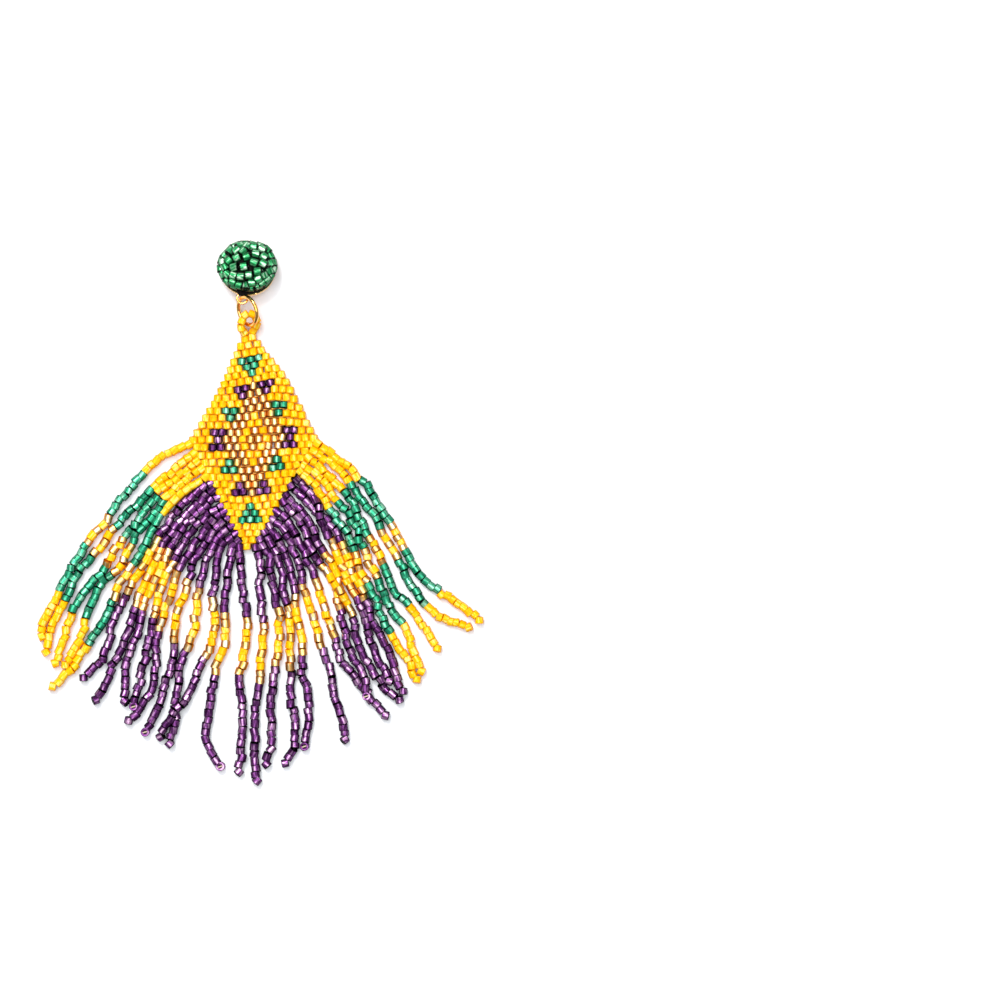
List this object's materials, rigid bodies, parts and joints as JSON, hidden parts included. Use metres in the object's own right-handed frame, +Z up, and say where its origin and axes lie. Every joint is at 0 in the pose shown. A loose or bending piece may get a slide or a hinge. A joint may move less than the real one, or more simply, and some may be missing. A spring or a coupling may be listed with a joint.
{
  "type": "beaded earring",
  "caption": "Clip earring of seed beads lying flat: beaded dome stud in a metal cup, jump ring, bead loop, woven diamond and a long fanned fringe.",
  "frame": {"origin": "on the surface that the earring lies on, under the middle of its bounding box", "axes": "+Z up from the surface, +Y from the fringe's tips towards the stud, +X to the right as seen from above"},
  "size_m": [0.0896, 0.1088, 0.0069],
  "materials": {
    "gold_metal": "polished",
    "black_felt": "matt felt",
    "green_beads": "glossy metallic-lined glass",
    "yellow_beads": "glossy opaque glass",
    "purple_beads": "glossy metallic-lined glass"
  },
  "bodies": {
    "root": {"stud_cup": "gold_metal", "dome_felt": "black_felt", "bead_dome": "green_beads", "ear_clip": "gold_metal", "jump_ring": "gold_metal", "bead_loop": "yellow_beads", "woven_diamond": "yellow_beads", "fringe_left": "purple_beads", "fringe_right": "purple_beads"}
  },
  "joints": []
}
